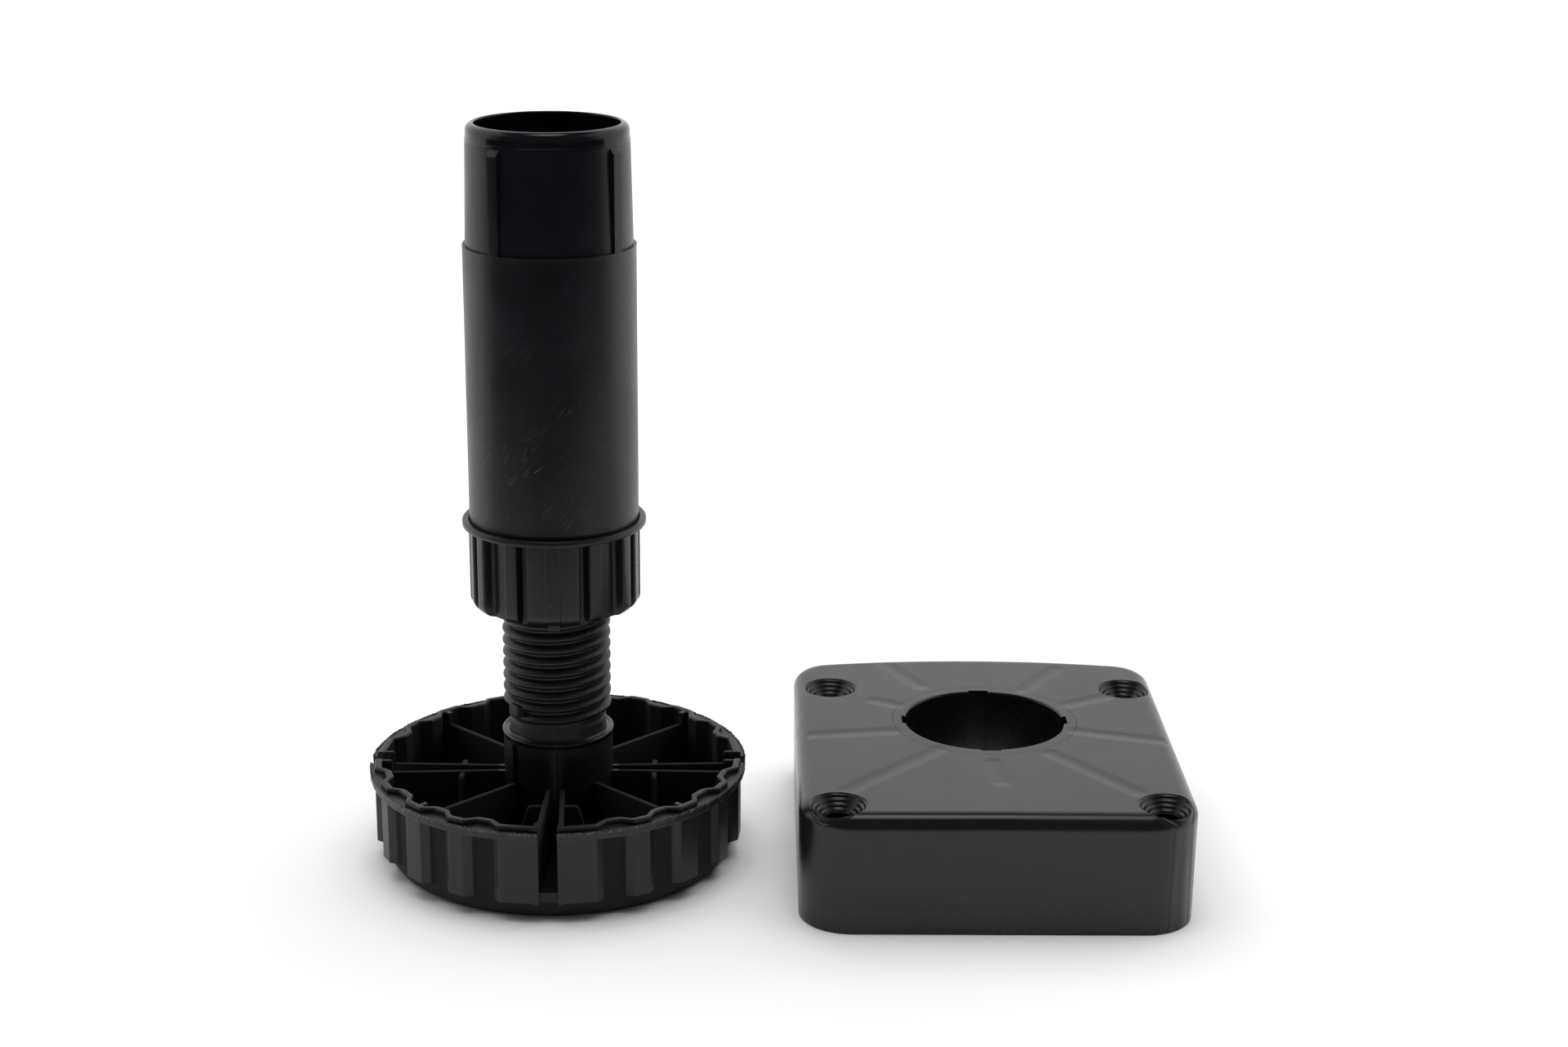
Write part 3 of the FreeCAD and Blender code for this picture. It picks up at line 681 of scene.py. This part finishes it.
def plate_ring(d, z):
    rf, rb = RF - d, RB - d
    lean = 0.25 * (z - 24.85) / 24.85
    l, r, f, b, m = XL + d - lean, XR - d + lean, YF + d, YS - d, YM - d
    tilt = 0.16
    pts = []

    def arc(cx, cy, rad, a0, a1, n):
        for i in range(n + 1):
            w = math.radians(a0 + (a1 - a0) * i / n)
            pts.append((cx + rad * math.cos(w), cy + rad * math.sin(w)))
    end = math.degrees(math.acos(tilt))
    arc(l + rf, f + rf, rf, 180, 270, 24)
    for t in (0.02, 0.12, 0.3, 0.5, 0.7, 0.88, 0.98):
        pts.append((l + rf + (r - l - 2 * rf) * t, f))
    arc(r - rf, f + rf, rf, 270, 360, 24)
    for t in (0.02, 0.12, 0.3, 0.5, 0.7, 0.88, 0.98):
        pts.append((r, f + rf + (b - rb - f - rf) * t))
    arc(r - rb, b - rb, rb, 0, end, 20)
    p = np.array(pts[-1])
    mid = 0.5 * (l + r)
    half, rise = p[0] - mid, m - p[1]
    big = (half * half + rise * rise) / (2 * rise)
    for i in range(1, 28):
        x = half * (1 - 2 * i / 28.0)
        pts.append((mid + x, m - big + math.sqrt(big * big - x * x)))
    arc(l + rb, b - rb, rb, 180 - end, 180, 20)
    for t in (0.02, 0.12, 0.3, 0.5, 0.7, 0.88, 0.98):
        pts.append((l, b - rb + (f + rf - b + rb) * t))
    return [(x, y, z) for x, y in pts]


rings = [plate_ring(0.25, 0.0), plate_ring(0.07, 0.08), plate_ring(0.0, 0.3), plate_ring(0.0, 1.0), plate_ring(0.0, 6.0), plate_ring(0.0, 12.0),
         plate_ring(0.0, 18.0), plate_ring(0.0, 21.35)]
for k in range(0, 13):
    w = math.radians(90 * k / 12)
    rings.append(plate_ring(3.2 * (1 - math.cos(w)), 21.65 + 3.2 * math.sin(w)))
rings.append(plate_ring(3.8, 24.85))
block = loft(rings)
cavity = loft([plate_ring(2.2, -1.0), plate_ring(2.2, 21.4), plate_ring(2.6, 22.25)])


def tube_cut(r, z0, z1, x=0.0, y=0.0, n=64):
    bm = solid_lathe([(0, z0), (r, z0), (r, z1), (0, z1)], spread(n))
    bmesh.ops.translate(bm, verts=bm.verts[:], vec=(x, y, 0))
    return bm


HOLES = [(32, 18.8), (-32, 18.8), (32, -45.2), (-32, -45.2)]
sleeve = tube_cut(19.4, 0.0, 23.45, n=96)
bosses = merge([tube_cut(4.7, 0.0, 22.9, x, y, 48) for x, y in HOLES])
spokes = []
for ang, reach in ((30, 40.4), (-30, 40.4), (60, 34.0), (-60, 34.0), (107, 38.9), (-107, 40.0), (180, 50.4)):
    ca, sa = math.sin(math.radians(ang)), math.cos(math.radians(ang))
    spokes.append(prism([(17.5 * ca - 0.8 * sa, 17.5 * sa + 0.8 * ca), (reach * ca - 0.8 * sa, reach * sa + 0.8 * ca),
                         (reach * ca + 0.8 * sa, reach * sa - 0.8 * ca), (17.5 * ca + 0.8 * sa, 17.5 * sa - 0.8 * ca)], 1.0, 23.6))
for x, y in HOLES[2:]:
    n = math.hypot(x, y)
    ca, sa = x / n, y / n
    reach = n - 4
    spokes.append(prism([(17.5 * ca - 0.8 * sa, 17.5 * sa + 0.8 * ca), (reach * ca - 0.8 * sa, reach * sa + 0.8 * ca),
                         (reach * ca + 0.8 * sa, reach * sa - 0.8 * ca), (17.5 * ca + 0.8 * sa, 17.5 * sa - 0.8 * ca)], 1.0, 23.6))
mouth = solid_lathe([(0, -1), (16.6, -1), (16.6, 24.35), (16.64, 24.55), (16.76, 24.73), (16.95, 24.85), (17.3, 25.0), (0, 25.4)], spread(144))
notches = []
for k in range(4):
    bm = prism([(-2.1, 14.0), (2.1, 14.0), (2.1, 17.4), (-2.1, 17.4)], -1.0, 27.0)
    bmesh.ops.rotate(bm, verts=bm.verts[:], cent=(0, 0, 0), matrix=Matrix.Rotation(math.radians(90 * k), 3, "Z"))
    notches.append(bm)
sinks = []
for x, y in HOLES:
    bm = solid_lathe([(0, -1), (2.75, -1), (2.75, 21.85), (5.58, 24.66), (5.72, 24.85), (5.95, 25.2), (0, 25.2)], spread(72))
    bmesh.ops.translate(bm, verts=bm.verts[:], vec=(x, y, 0))
    sinks.append(bm)
witness = lathe([(19.22, 25.1), (19.4, 24.77), (19.58, 25.1)], spread(144))
cross = merge(notches[0:1] + notches[2:3])
cross2 = merge(notches[1:2] + notches[3:4])
plate_bm = combine(block, [("DIFFERENCE", cavity), ("UNION", sleeve), ("UNION", bosses)] + [("UNION", s) for s in spokes]
                   + [("DIFFERENCE", mouth), ("DIFFERENCE", cross), ("DIFFERENCE", cross2), ("DIFFERENCE", merge(sinks)), ("DIFFERENCE", witness)])
bmesh.ops.translate(plate_bm, verts=plate_bm.verts[:], vec=(PX, PY, 0))
plate = link("plate", plate_bm)

for ob in (tube, plug, nut, foot, plate):
    weighted(ob)
    print("PIECE", ob.name, len(ob.data.vertices), len(ob.data.polygons), [round(v * 1000, 2) for v in ob.dimensions])


# ---------------------------------------------------------------- materials
class Net:
    def __init__(self, name):
        self.mat = bpy.data.materials.new(name)
        self.mat.use_nodes = True
        self.nt = self.mat.node_tree
        self.nt.nodes.clear()
        self.out = self.nt.nodes.new("ShaderNodeOutputMaterial")
        self.bsdf = self.nt.nodes.new("ShaderNodeBsdfPrincipled")
        self.nt.links.new(self.bsdf.outputs[0], self.out.inputs[0])
        self.obj = self.nt.nodes.new("ShaderNodeTexCoord").outputs["Object"]

    def node(self, kind, props=None, **inputs):
        n = self.nt.nodes.new(kind)
        for k, v in (props or {}).items():
            setattr(n, k, v)
        for k, v in inputs.items():
            key = int(k[1:]) if k[0] == "i" and k[1:].isdigit() else k.replace("_", " ")
            self.put(n.inputs[key], v)
        return n

    def put(self, sock, v):
        if hasattr(v, "is_output"):
            self.nt.links.new(v, sock)
        else:
            sock.default_value = v

    def math(self, op, a, b=0.0, c=0.0, clamp=False):
        n = self.node("ShaderNodeMath", {"operation": op, "use_clamp": clamp})
        self.put(n.inputs[0], a)
        self.put(n.inputs[1], b)
        self.put(n.inputs[2], c)
        return n.outputs[0]

    def vec(self, op, a, b=(0, 0, 0)):
        n = self.node("ShaderNodeVectorMath", {"operation": op})
        self.put(n.inputs[0], a)
        self.put(n.inputs[1], b)
        return n.outputs["Value"] if op in ("LENGTH", "DOT_PRODUCT", "DISTANCE") else n.outputs["Vector"]

    def noise(self, vec, scale, detail=3.0, rough=0.55, dist=0.0):
        n = self.node("ShaderNodeTexNoise")
        self.put(n.inputs["Vector"], vec)
        n.inputs["Scale"].default_value = scale
        n.inputs["Detail"].default_value = detail
        n.inputs["Roughness"].default_value = rough
        n.inputs["Distortion"].default_value = dist
        return n.outputs["Fac"]

    def ramp(self, v, lo, hi, a=0.0, b=1.0, smooth=True):
        n = self.node("ShaderNodeMapRange", {"interpolation_type": "SMOOTHSTEP" if smooth else "LINEAR"})
        self.put(n.inputs["Value"], v)
        for k, x in (("From Min", lo), ("From Max", hi), ("To Min", a), ("To Max", b)):
            n.inputs[k].default_value = x
        return n.outputs["Result"]

    def mapping(self, vec, rot=(0, 0, 0), scale=(1, 1, 1), loc=(0, 0, 0)):
        n = self.node("ShaderNodeMapping")
        self.put(n.inputs["Vector"], vec)
        n.inputs["Rotation"].default_value = [math.radians(a) for a in rot]
        n.inputs["Scale"].default_value = scale
        n.inputs["Location"].default_value = loc
        return n.outputs["Vector"]

    def mix(self, fac, a, b):
        n = self.node("ShaderNodeMix", {"data_type": "RGBA"})
        self.put(n.inputs[0], fac)
        self.put(n.inputs[6], a)
        self.put(n.inputs[7], b)
        return n.outputs[2]

    def bump(self, height, dist_mm, strength=1.0, normal=None):
        n = self.node("ShaderNodeBump")
        n.inputs["Strength"].default_value = strength
        n.inputs["Distance"].default_value = dist_mm * 0.001
        self.put(n.inputs["Height"], height)
        if normal is not None:
            self.put(n.inputs["Normal"], normal)
        return n.outputs["Normal"]

    def millimetres(self):
        return self.vec("MULTIPLY", self.obj, (1000, 1000, 1000))

    def wrapped(self, radius):
        """(arc length, height) coordinates on a cylinder about Z, in millimetres"""
        p = self.millimetres()
        sep = self.node("ShaderNodeSeparateXYZ")
        self.put(sep.inputs[0], p)
        a = self.math("ARCTAN2", sep.outputs[0], self.math("MULTIPLY", sep.outputs[1], -1.0))
        u = self.math("MULTIPLY", a, radius)
        com = self.node("ShaderNodeCombineXYZ")
        self.put(com.inputs[0], u)
        self.put(com.inputs[1], sep.outputs[2])
        return com.outputs[0], sep


def scratches(net, uv, angle, seed, density=0.62, width=6.0, length=0.22):
    """thin straight marks along one direction"""
    v = net.mapping(net.mapping(uv, rot=(0, 0, angle)), scale=(length, width, 1), loc=(seed, seed * 1.7, seed * 0.3))
    n = net.noise(v, 1.0, 1.0, 0.4)
    line = net.ramp(n, density + 0.075, density + 0.11)
    patch = net.noise(net.mapping(uv, loc=(seed * 3.1, seed * 0.7, seed)), 0.07, 2.0)
    return net.math("MULTIPLY", line, net.ramp(patch, 0.5, 0.62))


def black(name, color, rough, grain=0.012, grain_scale=3.0, radius=None, marks=0.5, sheen=0.0):
    net = Net(name)
    p = net.millimetres()
    if radius:
        uv, sep = net.wrapped(radius)
    else:
        uv = p
    large = net.noise(p, 0.06, 3.0)
    fine = net.noise(p, grain_scale, 4.0, 0.6)
    base = net.mix(net.ramp(large, 0.35, 0.65), (*[c * 0.86 for c in color], 1), (*[c * 1.16 for c in color], 1))
    r = net.math("ADD", net.ramp(large, 0.3, 0.7, rough - 0.03, rough + 0.04), net.ramp(fine, 0.3, 0.7, -0.015, 0.02))
    normal = net.bump(fine, grain)
    net.bsdf.inputs["Specular IOR Level"].default_value = 0.42
    net.put(net.bsdf.inputs["Base Color"], base)
    net.put(net.bsdf.inputs["Roughness"], r)
    net.put(net.bsdf.inputs["Normal"], normal)
    return net, p, uv, base, r, normal


def scuffed(net, uv, base, r, normal, sets, tone=0.055, depth=0.006, where=None):
    total = None
    for angle, seed, dens in sets:
        s = scratches(net, uv, angle, seed, dens)
        total = s if total is None else net.math("MAXIMUM", total, s)
    if where is not None:
        total = net.math("MULTIPLY", total, where)
    base = net.mix(net.math("MULTIPLY", total, 0.75), base, (tone, tone, tone * 1.03, 1))
    r = net.math("ADD", r, net.math("MULTIPLY", total, 0.12))
    normal = net.bump(total, depth, 1.0, normal)
    net.put(net.bsdf.inputs["Base Color"], base)
    net.put(net.bsdf.inputs["Roughness"], r)
    net.put(net.bsdf.inputs["Normal"], normal)
    return base, r, normal


net, p, uv, base, r, normal = black("black_tube", (0.0050, 0.0047, 0.0078), 0.36, 0.004, 2.2, radius=17.0)
sep = net.node("ShaderNodeSeparateXYZ")
net.put(sep.inputs[0], p)
lower = net.ramp(sep.outputs[2], 122.0, 96.0, 0.12, 1.0)
scuffed(net, uv, base, r, normal, [(-52, 3.0, 0.60), (-38, 9.0, 0.62), (-66, 14.0, 0.66), (22, 21.0, 0.68)], 0.08, 0.006, lower)
MAT_TUBE = net.mat
net, p, uv, base, r, normal = black("black_plug", (0.0048, 0.0044, 0.0075), 0.32, 0.003, 1.6, radius=16.0)
high = net.node("ShaderNodeSeparateXYZ")
net.put(high.inputs[0], p)
r = net.math("SUBTRACT", r, net.ramp(high.outputs[2], 147.6, 149.2, 0.0, 0.19))
net.bsdf.inputs["Specular IOR Level"].default_value = 0.35
scuffed(net, uv, base, r, normal, [(80, 5.0, 0.68), (15, 8.0, 0.68)], 0.04, 0.003)
MAT_PLUG = net.mat
net, p, uv, base, r, normal = black("black_nut", (0.0070, 0.0066, 0.0086), 0.33, 0.006, 2.5, radius=17.0)
scuffed(net, uv, base, r, normal, [(80, 2.0, 0.64), (10, 6.0, 0.66), (-40, 11.0, 0.66)], 0.06, 0.005)
MAT_NUT = net.mat
net, p, uv, base, r, normal = black("black_foot", (0.0078, 0.0075, 0.0083), 0.42, 0.02, 3.0, radius=37.0)
sep = net.node("ShaderNodeSeparateXYZ")
net.put(sep.inputs[0], p)
height = sep.outputs[2]
reach = net.vec("LENGTH", net.vec("MULTIPLY", p, (1, 1, 0)))
# the hub's lip is smoother, the pockets are duller, and the band's edge has a pale rough burr
lip = net.math("MULTIPLY", net.ramp(height, 25.9, 26.3), net.math("MULTIPLY", net.ramp(height, 27.7, 27.4), net.ramp(reach, 12.2, 11.8)))
pocket = net.math("MULTIPLY", net.ramp(reach, 36.75, 36.45), net.math("MULTIPLY", net.ramp(reach, 12.0, 13.0), net.ramp(height, 20.3, 20.0)))
r = net.math("ADD", net.math("SUBTRACT", r, net.math("MULTIPLY", lip, 0.2)), net.math("MULTIPLY", pocket, 0.42))
edge = net.math("MULTIPLY", net.ramp(reach, 38.4, 38.58), net.ramp(height, 19.0, 19.35))
crumbs = net.math("MULTIPLY", edge, net.ramp(net.noise(p, 1.6, 3.0, 0.65), 0.46, 0.6))
base = net.mix(crumbs, base, (0.075, 0.074, 0.076, 1))
normal = net.bump(crumbs, 0.06, 1.0, normal)
scuffed(net, uv, base, r, normal, [(85, 2.5, 0.64), (5, 7.0, 0.66)], 0.045, 0.004)
MAT_FOOT = net.mat

# plate: shallow sink marks over the hidden ribs, turning marks in the countersinks
net, p, uv, base, r, normal = black("black_plate", (0.0078, 0.0072, 0.0092), 0.25, 0.003, 1.8)
local = net.vec("SUBTRACT", p, (PX, PY, 0))
flat = net.vec("MULTIPLY", local, (1, 1, 0))
LINES = [((-19.7, 34.2), (-12.4, 20.2)), ((18.1, 31.0), (10.0, 18.0)), ((-22.5, 11.1), (-18.4, 8.6)), ((27.4, 14.1), (18.7, 9.1)),
         ((-37.0, -9.2), (-19.9, -6.7)), ((18.7, -6.3), (37.3, -12.0)), ((-10.7, -16.7), (-30.0, -38.6)), ((12.2, -18.7), (27.2, -39.1)),
         ((0.0, -23.7), (0.7, -34.0))]
total = None
for (ax, ay), (bx, by) in LINES:
    d = (bx - ax, by - ay)
    ll = d[0] ** 2 + d[1] ** 2
    pa = net.vec("SUBTRACT", flat, (ax, ay, 0))
    t = net.math("DIVIDE", net.vec("DOT_PRODUCT", pa, (d[0], d[1], 0)), ll, clamp=True)
    sc = net.node("ShaderNodeVectorMath", {"operation": "SCALE"})
    sc.inputs[0].default_value = (d[0], d[1], 0)
    net.put(sc.inputs["Scale"], t)
    dist = net.vec("DISTANCE", pa, sc.outputs["Vector"])
    g = net.ramp(dist, 0.2, 2.8, 1.0, 0.0)
    total = g if total is None else net.math("MAXIMUM", total, g)
sep = net.node("ShaderNodeSeparateXYZ")
net.put(sep.inputs[0], local)
top = net.ramp(sep.outputs[2], 24.45, 24.83)
total = net.math("MULTIPLY", total, top)
normal = net.bump(net.math("MULTIPLY", total, -1.0), 0.13, 1.0, normal)
rings_ = None
for x, y in HOLES:
    dist = net.vec("DISTANCE", flat, (x, y, 0))
    m = net.math("MULTIPLY", net.ramp(dist, 5.7, 5.6), net.ramp(dist, 2.7, 2.8))
    w = net.math("MULTIPLY", net.math("SINE", net.math("MULTIPLY", dist, 8.5)), m)
    rings_ = w if rings_ is None else net.math("ADD", rings_, w)
normal = net.bump(rings_, 0.06, 1.0, normal)
net.put(net.bsdf.inputs["Normal"], normal)
scuffed(net, uv, base, r, normal, [(25, 4.0, 0.70), (-65, 12.0, 0.70)], 0.05, 0.003)
MAT_PLATE = net.mat

for ob, mat, body, node, slot in (
        (tube, MAT_TUBE, "leg_tube", "outer_tube", "black_tube"), (plug, MAT_PLUG, "leg_tube", "top_plug", "black_moulding"),
        (nut, MAT_NUT, "nut", "adjusting_nut", "black_moulding"), (foot, MAT_FOOT, "foot", "foot", "black_foot"),
        (plate, MAT_PLATE, "plate", "mounting_plate", "black_plate")):
    ob.data.materials.clear()
    ob.data.materials.append(mat)
    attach(ob, body)
    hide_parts(node)

# ---------------------------------------------------------- floor and lights
floor_mesh = bpy.data.meshes.new("floor")
bm = bmesh.new()
R = 3.0
for x, y in ((-R, -R), (R, -R), (R, R), (-R, R)):
    bm.verts.new((x, y, 0.0))
bm.faces.new(bm.verts[:])
bm.to_mesh(floor_mesh)
bm.free()
floor = bpy.data.objects.new("floor", floor_mesh)
COL.objects.link(floor)
fm = bpy.data.materials.new("pale_floor")
fm.use_nodes = True
fb = fm.node_tree.nodes["Principled BSDF"]
fb.inputs["Base Color"].default_value = (0.86, 0.86, 0.86, 1)
fb.inputs["Roughness"].default_value = 0.9
fb.inputs["Specular IOR Level"].default_value = 0.0
floor.data.materials.append(fm)

world = bpy.data.worlds.new("studio")
bpy.context.scene.world = world
world.use_nodes = True
bg = world.node_tree.nodes["Background"]
wt = world.node_tree
coord = wt.nodes.new("ShaderNodeTexCoord")
split = wt.nodes.new("ShaderNodeSeparateXYZ")
wt.links.new(coord.outputs["Generated"], split.inputs[0])


def wramp(sock, lo, hi, a, b):
    n = wt.nodes.new("ShaderNodeMapRange")
    n.interpolation_type = "SMOOTHSTEP"
    wt.links.new(sock, n.inputs["Value"])
    for k, x in (("From Min", lo), ("From Max", hi), ("To Min", a), ("To Max", b)):
        n.inputs[k].default_value = x
    return n.outputs["Result"]


def wmath(op, a, b):
    n = wt.nodes.new("ShaderNodeMath")
    n.operation = op
    for sock, v in zip(n.inputs, (a, b)):
        if hasattr(v, "is_output"):
            wt.links.new(v, sock)
        else:
            sock.default_value = v
    return n.outputs[0]


# bright walls behind and beside, a dark room in front, one soft panel overhead
walls_ = wmath("MULTIPLY", wramp(split.outputs[1], -0.5, 0.08, 0.0, 1.0), wramp(split.outputs[2], 0.74, 0.87, 1.0, 0.0))
panel = wramp(split.outputs[2], 0.962, 0.985, 0.0, 3.4)
wt.links.new(wmath("ADD", wmath("MAXIMUM", wmath("MULTIPLY", walls_, 0.92), panel), 0.10), bg.inputs["Strength"])
bg.inputs[0].default_value = (1.0, 1.0, 1.0, 1)


def area(name, loc, target, size, energy, size_y=None):
    data = bpy.data.lights.new(name, "AREA")
    data.energy = energy
    data.size = size
    if size_y:
        data.shape = "RECTANGLE"
        data.size_y = size_y
    ob = bpy.data.objects.new(name, data)
    ob.location = loc
    d = Vector(target) - Vector(loc)
    ob.rotation_euler = d.to_track_quat("-Z", "Y").to_euler()
    COL.objects.link(ob)
    return ob


floor_light = area("floor_soft", (0.0, 0.6, 3.0), (0.0, 0.6, 0.0), 4.0, 95.0)
only = bpy.data.collections.new("floor_only")
only.objects.link(floor)
floor_light.light_linking.receiver_collection = only

# dark ground of the room in front of the table, seen only in reflections
card_mesh = bpy.data.meshes.new("card")
bm = bmesh.new()
for x, y in ((-3, -0.02), (-3, -3), (3, -3), (3, -0.02), (0.36, -0.02), (0.26, -0.19), (-0.16, -0.19), (-0.25, -0.02)):
    bm.verts.new((x, y, 0.0006))
bm.faces.new(bm.verts[:])
bm.to_mesh(card_mesh)
bm.free()
card = bpy.data.objects.new("dark_card", card_mesh)
COL.objects.link(card)
cm = bpy.data.materials.new("dark_card")
cm.use_nodes = True
cb = cm.node_tree.nodes["Principled BSDF"]
cb.inputs["Base Color"].default_value = (0.02, 0.02, 0.022, 1)
cb.inputs["Roughness"].default_value = 1.0
cb.inputs["Specular IOR Level"].default_value = 0.0
card.data.materials.append(cm)
card.visible_camera = False
card.visible_diffuse = False
card.visible_transmission = False
card.visible_shadow = False
bpy.context.scene.view_settings.view_transform = "Standard"
bpy.context.scene.view_settings.look = "None"

# ------------------------------------------------------------------- camera
cam = bpy.data.cameras.new("camera")
cam.sensor_width = 36.0
cam.sensor_fit = "HORIZONTAL"
cam.lens = 3184.66 / 1920.0 * 36.0
cam.clip_start = 0.01
cam.clip_end = 20.0
camera = bpy.data.objects.new("camera", cam)
yaw, pitch, roll = math.radians(0.625), math.radians(16.95), math.radians(0.493)
fwd = Vector((math.sin(yaw) * math.cos(pitch), math.cos(yaw) * math.cos(pitch), -math.sin(pitch)))
right = Vector((math.cos(yaw), -math.sin(yaw), 0.0))
up = right.cross(fwd)
r2 = right * math.cos(roll) + up * math.sin(roll)
u2 = -right * math.sin(roll) + up * math.cos(roll)
mat = Matrix((r2, u2, -fwd)).transposed().to_4x4()
mat.translation = Vector((0.04082, -0.50232, 0.22406))
camera.matrix_world = mat
COL.objects.link(camera)
bpy.context.scene.camera = camera
